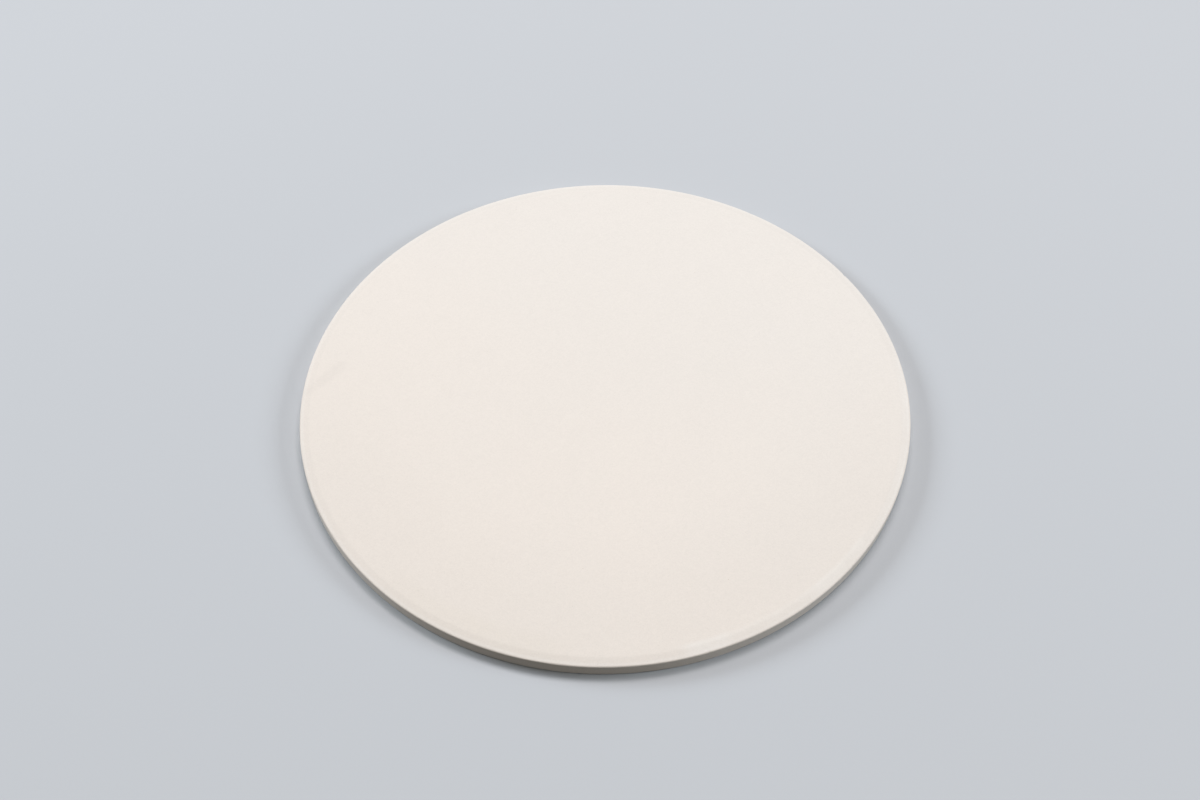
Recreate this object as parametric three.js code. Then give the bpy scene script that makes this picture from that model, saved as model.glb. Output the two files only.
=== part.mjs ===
// A round heat deflector plate for a kamado cooker: one flat slab of pressed and fired cordierite.
// Millimetres, +Z up. The origin is the centre of the underside, which the plate rests on.
import * as THREE from "three";

// Driving dimensions; the bevel is a shallow slope round the top face, which falls towards the rim
const plateDiameter = 400;
const plateThickness = 10;
const bevelWidth = 6;
const bevelDrop = 0.7;
const topEdgeRadius = 0.8;
const undersideEdgeRadius = 1.2;

// Fineness of the round forms; a multiple of four sides gives the full diameter along both X and Y
const sidesAround = 180;
const stepsPerEdge = 5;

// Bare cream ceramic, matt and unglazed
const ceramicColour = 0xeee7e0;
const ceramicRoughness = 0.85;

// The points of a rounded edge: an arc that turns anticlockwise between the angles given
function roundedEdge(centreRadius, centreHeight, edgeRadius, startAngle, endAngle) {
  const arc = new THREE.EllipseCurve(
    centreRadius, centreHeight, edgeRadius, edgeRadius, startAngle, endAngle,
  );
  return arc.getPoints(stepsPerEdge);
}

// The rounded edge between the wall and the bevel, which touches both of them
function topEdge(wallRadius) {
  const slope = Math.atan2(bevelDrop, bevelWidth);
  const cornerHeight = plateThickness - bevelDrop;
  const centreDepth = topEdgeRadius * (1 - Math.sin(slope)) / Math.cos(slope);
  return roundedEdge(
    wallRadius - topEdgeRadius, cornerHeight - centreDepth, topEdgeRadius, 0, Math.PI / 2 - slope,
  );
}

// Half of the plate's section, from the middle of the underside round the wall to the middle of the top
function plateSection() {
  const wallRadius = plateDiameter / 2;
  const undersideEdge = roundedEdge(
    wallRadius - undersideEdgeRadius, undersideEdgeRadius, undersideEdgeRadius, -Math.PI / 2, 0,
  );
  const undersideMiddle = new THREE.Vector2(0, 0);
  const bevelStart = new THREE.Vector2(wallRadius - bevelWidth, plateThickness);
  const topMiddle = new THREE.Vector2(0, plateThickness);
  return [undersideMiddle, ...undersideEdge, ...topEdge(wallRadius), bevelStart, topMiddle];
}

// The section turned once about the plate's axis, then stood up so that the axis is Z
function makePlate() {
  const geometry = new THREE.LatheGeometry(plateSection(), sidesAround);
  const material = new THREE.MeshStandardMaterial({
    color: ceramicColour,
    roughness: ceramicRoughness,
    metalness: 0,
  });
  const plate = new THREE.Mesh(geometry, material);
  plate.name = "deflector_plate";
  plate.rotation.x = Math.PI / 2;
  return plate;
}

const heatDeflector = new THREE.Group();
heatDeflector.name = "kamado_heat_deflector";
heatDeflector.add(makePlate());

export default heatDeflector;
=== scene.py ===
import math
import random
from collections import namedtuple

import bpy
from mathutils import Matrix, Vector, kdtree, noise


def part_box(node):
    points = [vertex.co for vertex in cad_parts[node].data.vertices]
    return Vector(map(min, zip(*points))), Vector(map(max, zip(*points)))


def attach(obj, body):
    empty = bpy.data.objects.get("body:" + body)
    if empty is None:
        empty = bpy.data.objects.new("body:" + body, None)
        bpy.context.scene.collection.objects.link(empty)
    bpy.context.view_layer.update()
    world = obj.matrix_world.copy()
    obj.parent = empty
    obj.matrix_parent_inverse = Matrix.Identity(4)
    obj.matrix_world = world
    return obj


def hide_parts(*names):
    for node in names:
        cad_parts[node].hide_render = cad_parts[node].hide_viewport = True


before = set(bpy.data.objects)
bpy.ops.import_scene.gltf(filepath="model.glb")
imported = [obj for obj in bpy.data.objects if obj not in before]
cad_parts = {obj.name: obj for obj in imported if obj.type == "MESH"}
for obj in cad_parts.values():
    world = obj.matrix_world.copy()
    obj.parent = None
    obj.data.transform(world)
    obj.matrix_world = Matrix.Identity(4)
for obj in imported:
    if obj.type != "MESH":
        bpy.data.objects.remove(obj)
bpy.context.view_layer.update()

# A kamado cooker's heat deflector, a round plate of bare fired cordierite, on a pale studio floor

MM = 0.001

# The plate's size, from the frame, its two rounded edges, and the shallow bevel round the top face
plate_low, plate_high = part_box("deflector_plate")
RADIUS = (plate_high[0] - plate_low[0]) / 2
THICKNESS = plate_high[2] - plate_low[2]
TOP_EDGE = 0.8 * MM
UNDERSIDE_EDGE = 1.2 * MM
BEVEL_WIDTH = 6.0 * MM
BEVEL_DROP = 0.7 * MM
BEVEL_SOFTNESS = 0.6 * MM
BEVEL_SLOPE = math.atan2(BEVEL_DROP, BEVEL_WIDTH)
RIM_HEIGHT = THICKNESS - BEVEL_DROP

# The wall leans a little, as the photograph shows: the underside lies this far to the left of the top
WALL_LEAN = 0.4 * MM

# Fineness of the plate's mesh: close rings near the rim, wider ones towards the middle
RIM_SIDES = 1200
EDGE_ROWS = 8
WALL_ROWS = 12
TOP_RIM_STEP = 0.6 * MM
UNDERSIDE_RIM_STEP = 1.2 * MM
RIM_BAND = 8 * MM
COARSE_STEP = 3.2 * MM
STEP_GROWTH = 0.25

# Relief from pressing, firing and fettling, which all lies inside the nominal surface
Relief = namedtuple("Relief", "wavelength depth")
WARP = Relief(120 * MM, 0.14 * MM)
PRESS_MOTTLE = Relief(14 * MM, 0.03 * MM)
EDGE_WEAR = Relief(22 * MM, 0.10 * MM)
EDGE_CRUMBLE = Relief(2.4 * MM, 0.05 * MM)
DRAW_MARKS = Relief(5 * MM, 0.03 * MM)
DRAW_STRETCH = 0.15

# Noise of the relief: how fast its octaves fade, the step from one to the next, and their number
OCTAVE_FADE = 1.0
OCTAVE_STEP = 2.0
OCTAVES = 2

# Small nicks along the two edges: the range of their sizes, the range of their depths as a share of
# the size, and the share of them on the top edge
NICK_COUNT = 46
NICK_SEED = 11
NICK_SIZE = (0.7 * MM, 2.0 * MM)
NICK_DEPTH_SHARE = (0.12, 0.24)
NICKS_ON_TOP = 0.35

# Layout of the baking map: two round faces on the diagonal, and the rim in strips in a free corner
MAP_TOP_CENTRE = (0.295, 0.295)
MAP_UNDERSIDE_CENTRE = (0.705, 0.705)
MAP_FACE_RADIUS = 0.285
MAP_STRIPS = 8
MAP_STRIP_CORNER = (0.005, 0.6)
MAP_STRIP_LENGTH = 0.4
MAP_STRIP_HEIGHT = 0.042
MAP_STRIP_PITCH = 0.05

# Where one part of the surface gives way to the next: the heights at which the top half begins and
# the underside ends, and the depth from the rim at which the wall ends
TOP_HALF_BEGINS = (0.6 * THICKNESS, 0.7 * THICKNESS)
UNDERSIDE_ENDS = (0.6 * MM, 2.0 * MM)
WALL_ENDS = (0.3 * MM, 1.6 * MM)

# Colours of the fired body, as they look in plain white light; it is coolest towards one azimuth. The
# pale one is for rubbed places and also for painted highlights and painted light along the rim, and the
# warm darker one is painted shade inside the front-left rim
COOL_CREAM = (0.856, 0.805, 0.759)
WARM_CREAM = (0.868, 0.795, 0.733)
COOL_AZIMUTH = math.radians(60)
# Pale colour of rubbed places, also used for painted highlights and painted light along the rim
RUB_AND_PAINTED_LIGHT_WHITE = (0.95, 0.92, 0.885)
# Painted shade: a darker warm cream inside the front-left rim
PAINTED_SHADE_CREAM = (0.80, 0.73, 0.64)
SPECK_BROWN = (0.50, 0.40, 0.31)
SPECK_STRENGTH = 0.55

# Unevenness of the body at several scales: its wavelength, how far it changes the brightness,
# the height of its bump, and how far it changes the roughness
Unevenness = namedtuple("Unevenness", "wavelength tone bump roughness")
CLOUDS = Unevenness(130 * MM, 0.004, 0, 0)
MOTTLE = Unevenness(16 * MM, 0.005, 0, 0.02)
FINE_MOTTLE = Unevenness(2.2 * MM, 0.008, 0.008 * MM, 0.03)
GRAIN = Unevenness(0.7 * MM, 0.016, 0.008 * MM, 0)
GROG = Unevenness(0.9 * MM, 0.016, 0, 0)
WALL_STREAKS = Unevenness(1.3 * MM, 0.012, 0.010 * MM, 0)
STREAK_STRETCH = 0.06
CLOUD_WARMTH = 0.12
BODY_ROUGHNESS = 0.86
BODY_SPECULAR = 0.35

# A noise texture mostly stays within a quarter of its middle, and this brings it to about -1 to 1
NOISE_SPREAD = 4.0

# Pores, pinholes and iron specks: their spacing, their size, and the share of places that hold one;
# within its core, a share of its radius, a dot is at its full strength
Dots = namedtuple("Dots", "spacing radius share")
PORES = Dots(2.4 * MM, 0.22 * MM, 0.5)
PINHOLES = Dots(1.3 * MM, 0.12 * MM, 0.6)
SPECKS = Dots(8 * MM, 0.32 * MM, 0.22)
DOT_CORE = 0.5
PORE_SHADE = -0.13
PORE_DEPTH = 0.08 * MM

# Painted shade: darker on the bevel, deeper towards the back, and towards the front of the top face; the
# underside is darker too
BEVEL_SHADE_FRONT = -0.010
BEVEL_SHADE_BACK = -0.030
UNDERSIDE_SHADE = -0.04
FRONT_SHADE = -0.032
FRONT_SHADE_Y = (-0.6 * RADIUS, 0.4 * RADIUS)
FRONT_SHADE_DEPTH = (0.06 * RADIUS, 0.5 * RADIUS)

# Faint patches along the top rim, the last one all round it: where they start and end, and half the
# width of these soft ends, in degrees of azimuth, the four depths from the rim at which they appear,
# are full, fade and are gone, their colour, how much of it they take, and how much smoother they are.
# The first is painted shade, the next three are rubbed places with some painted light on the bevel,
# the fifth is painted light on the bevel at the right, and the last is a painted highlight along the
# edge, partly wear
RimPatch = namedtuple("RimPatch", "start end taper depths colour strength smoothing")
RIM_PATCHES = (
    # Painted shade inside the front-left rim
    RimPatch(-132, -98, 6, (-1 * MM, 0, 11 * MM, 22 * MM), PAINTED_SHADE_CREAM, 0.20, 0),
    # Rubbed places at the front right, with some painted light on the bevel
    RimPatch(-77, -69, 1.5, (0.3 * MM, 1.8 * MM, 6.5 * MM, 9.8 * MM), RUB_AND_PAINTED_LIGHT_WHITE, 0.38, 0.08),
    RimPatch(-69, -52, 1.5, (1.0 * MM, 4.8 * MM, 5.8 * MM, 9.2 * MM), RUB_AND_PAINTED_LIGHT_WHITE, 0.16, 0.08),
    RimPatch(-52, -36, 3, (0.8 * MM, 4.2 * MM, 6.0 * MM, 9.2 * MM), RUB_AND_PAINTED_LIGHT_WHITE, 0.29, 0.08),
    # Painted light on the bevel at the right
    RimPatch(-36, 6, 6, (0.5 * MM, 2.5 * MM, 4.5 * MM, 6.5 * MM), RUB_AND_PAINTED_LIGHT_WHITE, 0.20, 0.08),
    # Painted highlight along the top edge all round, partly edge wear
    RimPatch(-200, 200, 6, (0.4 * MM, 1.4 * MM, 1.8 * MM, 3.0 * MM), RUB_AND_PAINTED_LIGHT_WHITE, 0.20, 0.08),
)
PATCH_BREAK_UP = 0.35

# A faint smudge on the top face near its left rim: its half-lengths are along it, across it and down,
# and within its core, a share of them, it is at its full strength
SMUDGE_CENTRE = (-185.5 * MM, 15.0 * MM, THICKNESS)
SMUDGE_SIZE = (29 * MM, 6 * MM, THICKNESS / 3)
SMUDGE_TURN = math.radians(46)
SMUDGE_CORE = 0.2
SMUDGE_SHADE = -0.032
SMUDGE_RAGGEDNESS = 0.25

# The photograph's camera, found from the outline of the rim, whose centre lies this far right of
# the middle and below it in a frame 1200 pixels wide
FRAME_WIDTH_PX = 1200
CENTRE_RIGHT_PX = 4.66
CENTRE_DOWN_PX = -7.49
FIELD_OF_VIEW = math.radians(48)
VIEW_ELEVATION = math.radians(51.44)
VIEW_DISTANCE_RADII = 4.452
VIEW_ROLL = math.radians(-0.70)
SENSOR_WIDTH = 36

# Soft light: angles are in degrees, and a lamp's level is what it adds to a white surface that faces it
Lamp = namedtuple("Lamp", "name azimuth elevation distance width height level colour")
LAMPS = (
    Lamp("back_softbox", 75, 66, 4.0, 2.8, 1.2, 0.481, (1.05, 1.0, 0.985)),
    Lamp("left_softbox", 157, 25, 4.0, 1.5, 1.2, 0.556, (0.93, 1.0, 1.05)),
    Lamp("right_softbox", 358, 25, 4.0, 1.5, 1.2, 0.417, (0.93, 1.0, 1.05)),
)
SKY_LEVEL = 0.208
SKY_COLOUR = (1.01, 1.0, 0.93)

# The floor is pale where it is seen, throws little light back at the plate, and goes from lit to evenly
# pale over a range of distances
FLOOR_RADIUS = 12.0
FLOOR_SIDES = 96
FLOOR_PALE = (0.60, 0.62, 0.655)
FLOOR_BOUNCE = (0.10, 0.10, 0.10)
FLOOR_LIT_REACH = (0.45, 1.3)
FLOOR_TOOTH = Unevenness(1.5 * MM, 0.004, 0, 0)


def add_object(name, data):
    """A new object in the scene."""
    added = bpy.data.objects.new(name, data)
    bpy.context.scene.collection.objects.link(added)
    return added


# The plate's mesh

Ring = namedtuple("Ring", "radius height outward upward sides")


def face_height(radius, upward):
    """Height of a face: the underside is flat, and the top falls along a soft crease into the bevel."""
    if upward < 0:
        return 0
    past_crease = radius - (RADIUS - BEVEL_WIDTH)
    if past_crease <= -BEVEL_SOFTNESS:
        return THICKNESS
    if past_crease < BEVEL_SOFTNESS:
        past_crease = (past_crease + BEVEL_SOFTNESS) ** 2 / (4 * BEVEL_SOFTNESS)
    return THICKNESS - past_crease * BEVEL_DROP / BEVEL_WIDTH


def face_rings(rim_radius, upward, rim_step):
    """Rings of a face inside its rim, the last one a single point in the middle."""
    rings = []
    step = rim_step
    radius = rim_radius - step
    while radius > step:
        sides = min(RIM_SIDES, round(2 * math.pi * radius / step))
        rings.append(Ring(radius, face_height(radius, upward), 0, upward, sides))
        past_band = max(0, rim_radius - radius - RIM_BAND)
        step = min(COARSE_STEP, rim_step + STEP_GROWTH * past_band)
        radius -= step
    rings.append(Ring(0, face_height(0, upward), 0, upward, 1))
    return rings


def edge_rings(edge_radius, centre_height, start_angle, end_angle):
    """Rings of a rounded edge, which goes down from one angle to the other."""
    rings = []
    for row in range(EDGE_ROWS + 1):
        angle = start_angle + (end_angle - start_angle) * row / EDGE_ROWS
        outward, upward = math.cos(angle), math.sin(angle)
        radius = RADIUS - edge_radius + edge_radius * outward
        height = centre_height + edge_radius * upward
        rings.append(Ring(radius, height, outward, upward, RIM_SIDES))
    return rings


def rim_rings():
    """Rings from the top face's rim, down the wall, to the underside's rim."""
    centre_depth = TOP_EDGE * (1 - math.sin(BEVEL_SLOPE)) / math.cos(BEVEL_SLOPE)
    top = edge_rings(TOP_EDGE, RIM_HEIGHT - centre_depth, math.pi / 2 - BEVEL_SLOPE, 0)
    under = edge_rings(UNDERSIDE_EDGE, UNDERSIDE_EDGE, 0, -math.pi / 2)
    wall = []
    for row in range(1, WALL_ROWS):
        share = row / WALL_ROWS
        height = (1 - share) * top[-1].height + share * under[0].height
        wall.append(Ring(RADIUS, height, 1, 0, RIM_SIDES))
    return top + wall + under


def make_nicks():
    """A search tree of the nicks' places along the edges, with each one's size and depth."""
    draw = random.Random(NICK_SEED)
    tree = kdtree.KDTree(NICK_COUNT)
    shapes = []
    for index in range(NICK_COUNT):
        azimuth = draw.uniform(0, 2 * math.pi)
        on_top = draw.random() < NICKS_ON_TOP
        size = draw.uniform(*NICK_SIZE)
        depth = size * draw.uniform(*NICK_DEPTH_SHARE)
        height = RIM_HEIGHT if on_top else 0
        tree.insert((RADIUS * math.cos(azimuth), RADIUS * math.sin(azimuth), height), index)
        shapes.append((size, depth))
    tree.balance()
    return tree, shapes


def unit_noise(point, wavelength, stretch=1):
    """Smooth noise from 0 to 1, with a longer wavelength upwards if stretch is under 1."""
    place = Vector((point.x, point.y, point.z * stretch)) / wavelength
    swing = noise.fractal(place, OCTAVE_FADE, OCTAVE_STEP, OCTAVES)
    return min(1, max(0, 0.5 + 0.5 * swing))


def relief_depth(point, ring, nicks):
    """How far the real surface lies inside the nominal one at a point of a ring."""
    face_share = abs(ring.upward)
    wall_share = abs(ring.outward)
    depth = face_share * WARP.depth * unit_noise(point, WARP.wavelength)
    depth += face_share * PRESS_MOTTLE.depth * unit_noise(point, PRESS_MOTTLE.wavelength)
    depth += wall_share * DRAW_MARKS.depth * unit_noise(point, DRAW_MARKS.wavelength, DRAW_STRETCH)
    if ring.radius < RADIUS - BEVEL_WIDTH:
        return depth

    # The share of edge is 1 half-way round a rounded edge, and 0 on the wall and the faces
    edge_share = (2 * face_share * wall_share) ** 2
    wear = EDGE_WEAR.depth * unit_noise(point, EDGE_WEAR.wavelength) ** 2
    crumble = EDGE_CRUMBLE.depth * unit_noise(point, EDGE_CRUMBLE.wavelength) ** 2
    depth += edge_share * (wear + crumble)
    tree, shapes = nicks
    for _, index, distance in tree.find_range(point, max(NICK_SIZE)):
        size, nick_depth = shapes[index]
        if distance < size:
            depth += nick_depth * (1 - (distance / size) ** 2) ** 2
    return depth


def add_ring(points, ring, nicks):
    """Adds a ring's points with their relief, and returns their indices."""
    first = len(points)
    lean = WALL_LEAN * (ring.height / THICKNESS - 1)
    for side in range(ring.sides):
        azimuth = 2 * math.pi * side / ring.sides
        away = Vector((math.cos(azimuth), math.sin(azimuth), 0))
        nominal = away * ring.radius + Vector((lean, 0, ring.height))
        normal = away * ring.outward + Vector((0, 0, ring.upward))
        points.append(nominal - normal * relief_depth(nominal, ring, nicks))
    return list(range(first, len(points)))


def triangles_between(before, after):
    """Triangles between two neighbouring rings, which may differ in their number of points."""
    found = []
    past_before, past_after = 0, 0
    while past_before < len(before) or past_after < len(after):
        here, there = before[past_before % len(before)], after[past_after % len(after)]

        # The ring whose next point comes first on the way round moves on by that point
        if (past_before + 1) * len(after) <= (past_after + 1) * len(before):
            past_before += 1
            if len(before) > 1:
                found.append((here, there, before[past_before % len(before)]))
        else:
            past_after += 1
            if len(after) > 1:
                found.append((here, there, after[past_after % len(after)]))
    return found


def face_map(point, centre, upward):
    """Place of a face's point on the baking map, which shows each face from outside."""
    scale = MAP_FACE_RADIUS / RADIUS
    return (centre[0] + upward * point.x * scale, centre[1] + point.y * scale)


def rim_map(column, row, rows, strip):
    """Place of a rim's point on the baking map, in one of the strips."""
    along = column * MAP_STRIPS / RIM_SIDES - strip
    left, bottom = MAP_STRIP_CORNER
    return (
        left + MAP_STRIP_LENGTH * along,
        bottom + MAP_STRIP_PITCH * strip + MAP_STRIP_HEIGHT * row / rows,
    )


def face_polygons(rings, points, centre, upward):
    """Triangles of a face from its rim to its middle, each with its corners' places on the map."""
    polygons = []
    for outer, inner in zip(rings, rings[1:]):
        before, after = (inner, outer) if upward > 0 else (outer, inner)
        for corners in triangles_between(before, after):
            polygons.append((corners, [face_map(points[corner], centre, upward) for corner in corners]))
    return polygons


def rim_polygons(rings):
    """Quads from the top face's rim down to the underside's, each with its corners' places on the map."""
    polygons = []
    rows = len(rings) - 1
    for row in range(rows):
        upper, lower = rings[row], rings[row + 1]
        for column in range(RIM_SIDES):
            following = (column + 1) % RIM_SIDES
            strip = column * MAP_STRIPS // RIM_SIDES
            corners = (upper[column], lower[column], lower[following], upper[following])
            steps = ((column, row), (column, row + 1), (column + 1, row + 1), (column + 1, row))
            polygons.append((corners, [rim_map(*step, rows, strip) for step in steps]))
    return polygons


def build_plate():
    """The plate as one closed mesh, with its map for baking."""
    nicks = make_nicks()
    points = []
    rim = rim_rings()
    top = face_rings(rim[0].radius, 1, TOP_RIM_STEP)
    underside = face_rings(rim[-1].radius, -1, UNDERSIDE_RIM_STEP)
    rim_indices = [add_ring(points, ring, nicks) for ring in rim]
    top_indices = [rim_indices[0]] + [add_ring(points, ring, nicks) for ring in top]
    under_indices = [rim_indices[-1]] + [add_ring(points, ring, nicks) for ring in underside]
    polygons = face_polygons(top_indices, points, MAP_TOP_CENTRE, 1)
    polygons += face_polygons(under_indices, points, MAP_UNDERSIDE_CENTRE, -1)
    polygons += rim_polygons(rim_indices)
    mesh = bpy.data.meshes.new("fired_plate")
    mesh.from_pydata(points, [], [corners for corners, _ in polygons])
    baking = mesh.uv_layers.new(name="OFBake")
    places = [place for _, corner_places in polygons for place in corner_places]
    baking.data.foreach_set("uv", [number for place in places for number in place])
    mesh.shade_smooth()
    return add_object("fired_plate", mesh)


# Building blocks of the materials

# Places of a Mix node's sockets for colours, whose names it shares with its other sockets
MIX_FACTOR, MIX_FIRST, MIX_SECOND = 0, 6, 7
MIX_RESULT = 2


def add_node(tree, kind, inputs=None, **options):
    """Adds a shader node, sets its options, and fills or links its inputs."""
    node = tree.nodes.new("ShaderNode" + kind)
    for name, value in options.items():
        setattr(node, name, value)
    for socket, value in (inputs or {}).items():
        if isinstance(value, bpy.types.NodeSocket):
            tree.links.new(value, node.inputs[socket])
        else:
            node.inputs[socket].default_value = value
    return node


def calculate(tree, operation, first, second=0.0, third=0.0):
    """One step of arithmetic on numbers or sockets."""
    inputs = {0: first, 1: second, 2: third}
    return add_node(tree, "Math", inputs, operation=operation).outputs["Value"]


def chain(tree, operation, terms):
    """One kind of arithmetic on several numbers or sockets, one after the other."""
    running = terms[0]
    for term in terms[1:]:
        running = calculate(tree, operation, running, term)
    return running


def product(tree, *terms):
    """Several numbers or sockets multiplied."""
    return chain(tree, "MULTIPLY", terms)


def ramp(tree, value, start, end, low=0.0, high=1.0):
    """A smooth step from low to high as the value goes from start to end."""
    inputs = {"Value": value, "From Min": start, "From Max": end, "To Min": low, "To Max": high}
    return add_node(tree, "MapRange", inputs, interpolation_type="SMOOTHSTEP").outputs["Result"]


def fall(tree, value, start, end):
    """A smooth step from 1 to 0 as the value goes from start to end."""
    return ramp(tree, value, start, end, 1.0, 0.0)


def length(tree, vector):
    """The length of a vector."""
    return add_node(tree, "VectorMath", {0: vector}, operation="LENGTH").outputs["Value"]


def stretched(tree, vector, factors):
    """A vector with each of its parts times a factor of its own."""
    return add_node(tree, "VectorMath", {0: vector, 1: factors}, operation="MULTIPLY").outputs["Vector"]


def scaled(tree, vector, factor):
    """A vector or a colour times a number."""
    return add_node(tree, "VectorMath", {0: vector, "Scale": factor}, operation="SCALE").outputs["Vector"]


def blend(tree, factor, first, second):
    """A mix of two colours."""
    inputs = {MIX_FACTOR: factor}
    for socket, colour in ((MIX_FIRST, first), (MIX_SECOND, second)):
        inputs[socket] = colour if isinstance(colour, bpy.types.NodeSocket) else (*colour, 1.0)
    return add_node(tree, "Mix", inputs, data_type="RGBA").outputs[MIX_RESULT]


def noise_tone(tree, place, kind):
    """Noise from about -1 to 1 with the wavelength of a kind of unevenness."""
    value = add_node(tree, "TexNoise", {"Vector": place, "Scale": 1 / kind.wavelength}).outputs["Fac"]
    return calculate(tree, "MULTIPLY_ADD", value, NOISE_SPREAD, -NOISE_SPREAD / 2)


def cells(tree, place, spacing):
    """Cells of a spacing: the distance from a cell's point, and a chance of its own from 0 to 1."""
    found = add_node(tree, "TexVoronoi", {"Vector": place, "Scale": 1 / spacing}).outputs
    chance = add_node(tree, "SeparateColor", {"Color": found["Color"]}).outputs["Red"]
    return found["Distance"], chance


def grain_tone(tree, place, kind):
    """Small grains, each with an even tone of its own from -1 to 1."""
    _, chance = cells(tree, place, kind.wavelength)
    return calculate(tree, "MULTIPLY_ADD", chance, 2.0, -1.0)


def round_dots(tree, place, dots):
    """Round dots, one at most to a cell, that only a share of the cells hold."""
    distance, chance = cells(tree, place, dots.spacing)
    edge = dots.radius / dots.spacing
    dot = fall(tree, distance, DOT_CORE * edge, edge)
    return product(tree, dot, calculate(tree, "LESS_THAN", chance, dots.share))


# The plate's material

Spot = namedtuple("Spot", "place y z depth azimuth on_top")


def surface_spot(tree):
    """Where a point of the plate's surface is: its depth is how far inside the rim it lies."""
    place = add_node(tree, "TexCoord").outputs["Object"]
    parts = add_node(tree, "SeparateXYZ", {0: place}).outputs
    from_axis = length(tree, stretched(tree, place, (1, 1, 0)))
    depth = calculate(tree, "SUBTRACT", RADIUS, from_axis)
    azimuth = calculate(tree, "ARCTAN2", parts["Y"], parts["X"])
    on_top = ramp(tree, parts["Z"], *TOP_HALF_BEGINS)
    return Spot(place, parts["Y"], parts["Z"], depth, azimuth, on_top)


def wall_streaks(tree, spot):
    """Upright streaks from about -1 to 1 on the wall, and 0 elsewhere."""
    upright = stretched(tree, spot.place, (1, 1, STREAK_STRETCH))
    return product(tree, noise_tone(tree, upright, WALL_STREAKS), fall(tree, spot.depth, *WALL_ENDS))


def slow_shades(tree, spot):
    """What the bevel, the underside and the front of the top face add to the brightness: painted shade on
    the bevel, deeper towards the back, and towards the front of the top face.
    """
    # Painted shade on the bevel, deeper towards the back
    bevel = product(
        tree,
        spot.on_top,
        ramp(tree, spot.y, -RADIUS, RADIUS, BEVEL_SHADE_FRONT, BEVEL_SHADE_BACK),
        ramp(tree, spot.depth, *WALL_ENDS),
        fall(tree, spot.depth, BEVEL_WIDTH - BEVEL_SOFTNESS, BEVEL_WIDTH + BEVEL_SOFTNESS),
    )
    underside = product(tree, fall(tree, spot.z, *UNDERSIDE_ENDS), UNDERSIDE_SHADE)
    # Painted shade towards the front of the top face
    front = product(
        tree,
        spot.on_top,
        fall(tree, spot.y, *FRONT_SHADE_Y),
        fall(tree, spot.depth, *FRONT_SHADE_DEPTH),
        FRONT_SHADE,
    )
    return [bevel, underside, front]


def smudge_mask(tree, spot, mottle):
    """The smudge, a soft oval with a ragged border: 1 in its middle and 0 outside."""
    inputs = {
        "Vector": spot.place,
        "Location": SMUDGE_CENTRE,
        "Rotation": (0, 0, SMUDGE_TURN),
        "Scale": SMUDGE_SIZE,
    }
    oval = add_node(tree, "Mapping", inputs, vector_type="TEXTURE").outputs["Vector"]
    ragged = calculate(tree, "MULTIPLY_ADD", mottle, SMUDGE_RAGGEDNESS, length(tree, oval))
    return fall(tree, ragged, SMUDGE_CORE, 1.0)


def patch_mask(tree, patch, spot, mottle):
    """A patch along the top rim, broken up by the mottle: about 1 in its middle and 0 outside."""
    appears, full, fades, gone = patch.depths
    start, end, taper = map(math.radians, (patch.start, patch.end, patch.taper))
    return product(
        tree,
        spot.on_top,
        ramp(tree, spot.azimuth, start - taper, start + taper),
        fall(tree, spot.azimuth, end - taper, end + taper),
        ramp(tree, spot.depth, appears, full),
        fall(tree, spot.depth, fades, gone),
        calculate(tree, "MULTIPLY_ADD", mottle, PATCH_BREAK_UP, 1.0),
    )


def fired_cream(tree, spot, clouds):
    """The body's own colour, from warm to cool across the plate."""
    cool_side = (math.cos(COOL_AZIMUTH), math.sin(COOL_AZIMUTH), 0)
    across = add_node(tree, "VectorMath", {0: spot.place, 1: cool_side}, operation="DOT_PRODUCT")
    warmth = fall(tree, across.outputs["Value"], -RADIUS, RADIUS)
    warmth = calculate(tree, "MULTIPLY_ADD", clouds, CLOUD_WARMTH, warmth)
    return blend(tree, warmth, COOL_CREAM, WARM_CREAM)


def colour_with_patches(tree, spot, clouds, patches):
    """The body's own colour, with the patches along the rim, some of them painted shade and painted
    light, and the specks laid over it.
    """
    colour = fired_cream(tree, spot, clouds)
    for patch, mask in patches:
        colour = blend(tree, product(tree, mask, patch.strength), colour, patch.colour)
    specks = product(tree, round_dots(tree, spot.place, SPECKS), SPECK_STRENGTH)
    return blend(tree, specks, colour, SPECK_BROWN)


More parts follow.
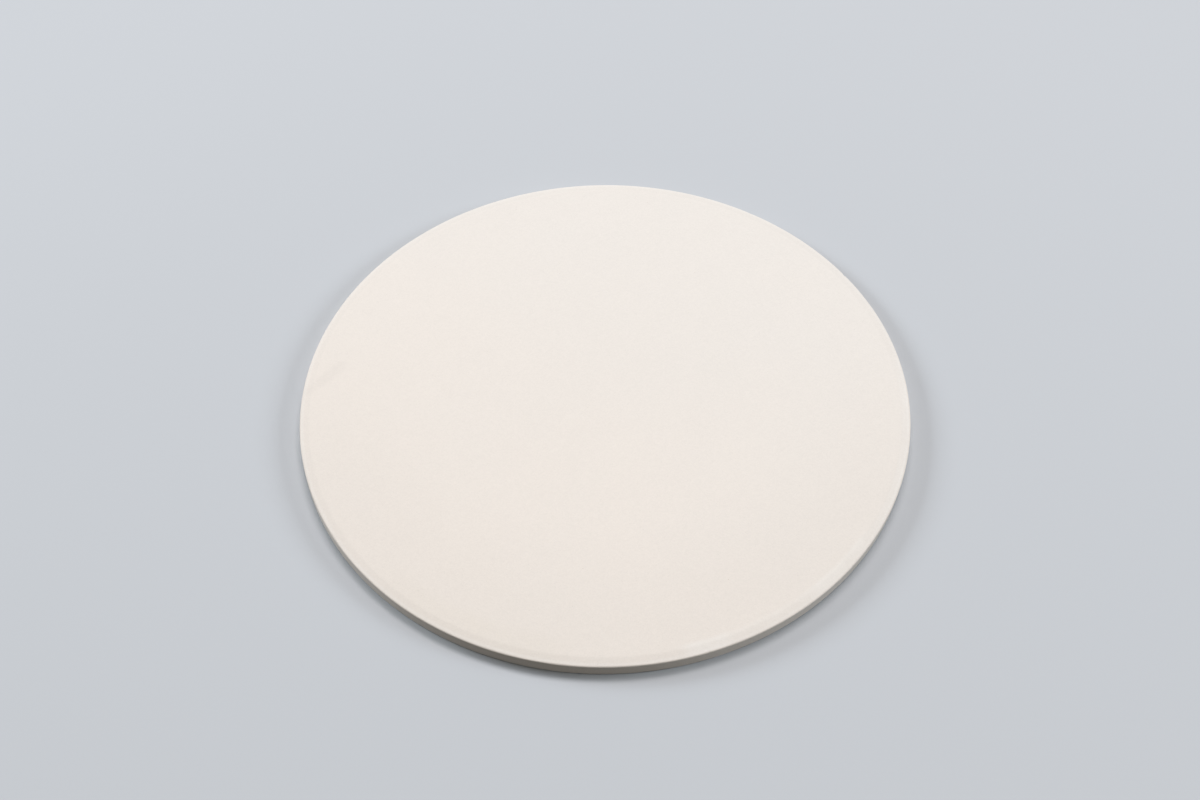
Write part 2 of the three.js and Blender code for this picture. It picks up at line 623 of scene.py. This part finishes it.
def cordierite():
    """Bare fired cordierite: cream, matt and fine grained, with faint handling marks, and with painted
    shade and painted light on the bevel, along the rim and towards the front of the top face.
    """
    material = bpy.data.materials.new("fired_cordierite")
    material.use_nodes = True
    tree = material.node_tree
    spot = surface_spot(tree)
    clouds = noise_tone(tree, spot.place, CLOUDS)
    mottle = noise_tone(tree, spot.place, MOTTLE)
    layers = (
        (CLOUDS, clouds),
        (MOTTLE, mottle),
        (FINE_MOTTLE, noise_tone(tree, spot.place, FINE_MOTTLE)),
        (GRAIN, noise_tone(tree, spot.place, GRAIN)),
        (GROG, grain_tone(tree, spot.place, GROG)),
        (WALL_STREAKS, wall_streaks(tree, spot)),
    )
    pores = chain(tree, "MAXIMUM", [round_dots(tree, spot.place, dots) for dots in (PORES, PINHOLES)])
    smudge = smudge_mask(tree, spot, mottle)
    patches = [(patch, patch_mask(tree, patch, spot, mottle)) for patch in RIM_PATCHES]
    colour = colour_with_patches(tree, spot, clouds, patches)

    # What adds up to the brightness, the bump in millimetres and the roughness
    tone = [1.0, product(tree, pores, PORE_SHADE), product(tree, smudge, SMUDGE_SHADE)]
    tone += slow_shades(tree, spot)
    bump = [product(tree, pores, -PORE_DEPTH / MM)]
    roughness = [BODY_ROUGHNESS]
    roughness += [product(tree, mask, -patch.smoothing) for patch, mask in patches]
    for kind, value in layers:
        tone.append(product(tree, value, kind.tone))
        if kind.bump:
            bump.append(product(tree, value, kind.bump / MM))
        if kind.roughness:
            roughness.append(product(tree, value, kind.roughness))
    raised = add_node(tree, "Bump", {"Height": chain(tree, "ADD", bump), "Distance": MM})
    shader = tree.nodes["Principled BSDF"]
    shader.inputs["Specular IOR Level"].default_value = BODY_SPECULAR
    tree.links.new(scaled(tree, colour, chain(tree, "ADD", tone)), shader.inputs["Base Color"])
    tree.links.new(chain(tree, "ADD", roughness), shader.inputs["Roughness"])
    tree.links.new(raised.outputs["Normal"], shader.inputs["Normal"])
    return material


# The stage

def seen_directly(tree):
    """1 for rays that show the surroundings themselves, and 0 for the light that they give."""
    rays = add_node(tree, "LightPath").outputs
    shown = ("Is Camera Ray", "Is Glossy Ray", "Is Transmission Ray")
    return chain(tree, "MAXIMUM", [rays[kind] for kind in shown])


def pale_floor():
    """A plain pale sheet, lit near the plate and evenly pale further away."""
    material = bpy.data.materials.new("pale_floor")
    material.use_nodes = True
    tree = material.node_tree
    tree.nodes.clear()
    seen = seen_directly(tree)
    place = add_node(tree, "TexCoord").outputs["Object"]
    tooth = noise_tone(tree, place, FLOOR_TOOTH)
    sheet = scaled(tree, FLOOR_PALE, calculate(tree, "MULTIPLY_ADD", tooth, FLOOR_TOOTH.tone, 1.0))
    lit = add_node(tree, "BsdfDiffuse", {"Color": blend(tree, seen, FLOOR_BOUNCE, sheet)})
    even = add_node(tree, "Emission", {"Color": (*FLOOR_PALE, 1.0)})
    far = product(tree, seen, ramp(tree, length(tree, place), *FLOOR_LIT_REACH))
    mixed = add_node(tree, "MixShader", {0: far, 1: lit.outputs[0], 2: even.outputs[0]})
    add_node(tree, "OutputMaterial", {"Surface": mixed.outputs[0]})
    return material


def build_floor():
    """A wide round floor at the height of the plate's underside."""
    points = []
    for side in range(FLOOR_SIDES):
        azimuth = 2 * math.pi * side / FLOOR_SIDES
        x, y = FLOOR_RADIUS * math.cos(azimuth), FLOOR_RADIUS * math.sin(azimuth)
        points.append((x, y, plate_low[2]))
    mesh = bpy.data.meshes.new("floor")
    mesh.from_pydata(points, [], [range(FLOOR_SIDES)])
    mesh.materials.append(pale_floor())
    floor = add_object("floor", mesh)


def build_lamp(lamp):
    """An oblong softbox that faces the middle of the plate."""
    azimuth, elevation = math.radians(lamp.azimuth), math.radians(lamp.elevation)
    towards = Vector((
        math.cos(azimuth) * math.cos(elevation),
        math.sin(azimuth) * math.cos(elevation),
        math.sin(elevation),
    ))
    light = bpy.data.lights.new(lamp.name, "AREA")
    light.shape = "RECTANGLE"
    light.size = lamp.width
    light.size_y = lamp.height
    light.energy = lamp.level * (math.pi * lamp.distance) ** 2
    light.color = lamp.colour
    holder = add_object(lamp.name, light)
    holder.location = towards * lamp.distance
    holder.rotation_euler = towards.to_track_quat("Z", "Y").to_euler()
    holder.visible_camera = False


def build_sky():
    """Even light from all round, which looks like the floor's pale colour where it is seen."""
    world = bpy.data.worlds.new("sky")
    world.use_nodes = True
    tree = world.node_tree
    tree.nodes.clear()
    seen = seen_directly(tree)
    light = add_node(tree, "Background", {"Color": (*SKY_COLOUR, 1.0), "Strength": SKY_LEVEL})
    shown = add_node(tree, "Background", {"Color": (*FLOOR_PALE, 1.0), "Strength": 1.0})
    mixed = add_node(tree, "MixShader", {0: seen, 1: light.outputs[0], 2: shown.outputs[0]})
    add_node(tree, "OutputWorld", {"Surface": mixed.outputs[0]})
    bpy.context.scene.world = world


def turned(first, second, angle):
    """Two unit vectors turned in their own plane, the first one towards the second."""
    return (
        first * math.cos(angle) + second * math.sin(angle),
        second * math.cos(angle) - first * math.sin(angle),
    )


def build_camera():
    """The photograph's camera, in front of the plate and looking down on it."""
    focal_px = FRAME_WIDTH_PX / 2 / math.tan(FIELD_OF_VIEW / 2)
    target = Vector((0, 0, RIM_HEIGHT))
    away = Vector((0, -math.cos(VIEW_ELEVATION), math.sin(VIEW_ELEVATION)))
    forward = -away
    right = Vector((1, 0, 0))
    up = right.cross(forward)
    forward, right = turned(forward, right, -math.atan2(CENTRE_RIGHT_PX, focal_px))
    forward, up = turned(forward, up, math.atan2(CENTRE_DOWN_PX, focal_px))
    right, up = turned(right, up, VIEW_ROLL)
    data = bpy.data.cameras.new("photo_camera")
    data.sensor_width = SENSOR_WIDTH
    data.lens = SENSOR_WIDTH / 2 / math.tan(FIELD_OF_VIEW / 2)
    camera = add_object("photo_camera", data)
    axes = Matrix((right, up, -forward)).transposed()
    place = target + away * VIEW_DISTANCE_RADII * RADIUS
    camera.matrix_world = Matrix.Translation(place) @ axes.to_4x4()
    bpy.context.scene.camera = camera


plate = build_plate()
plate.data.materials.append(cordierite())
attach(plate, "root")
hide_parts("deflector_plate")

build_floor()
for lamp in LAMPS:
    build_lamp(lamp)
build_sky()
build_camera()
bpy.context.scene.view_settings.view_transform = "Standard"
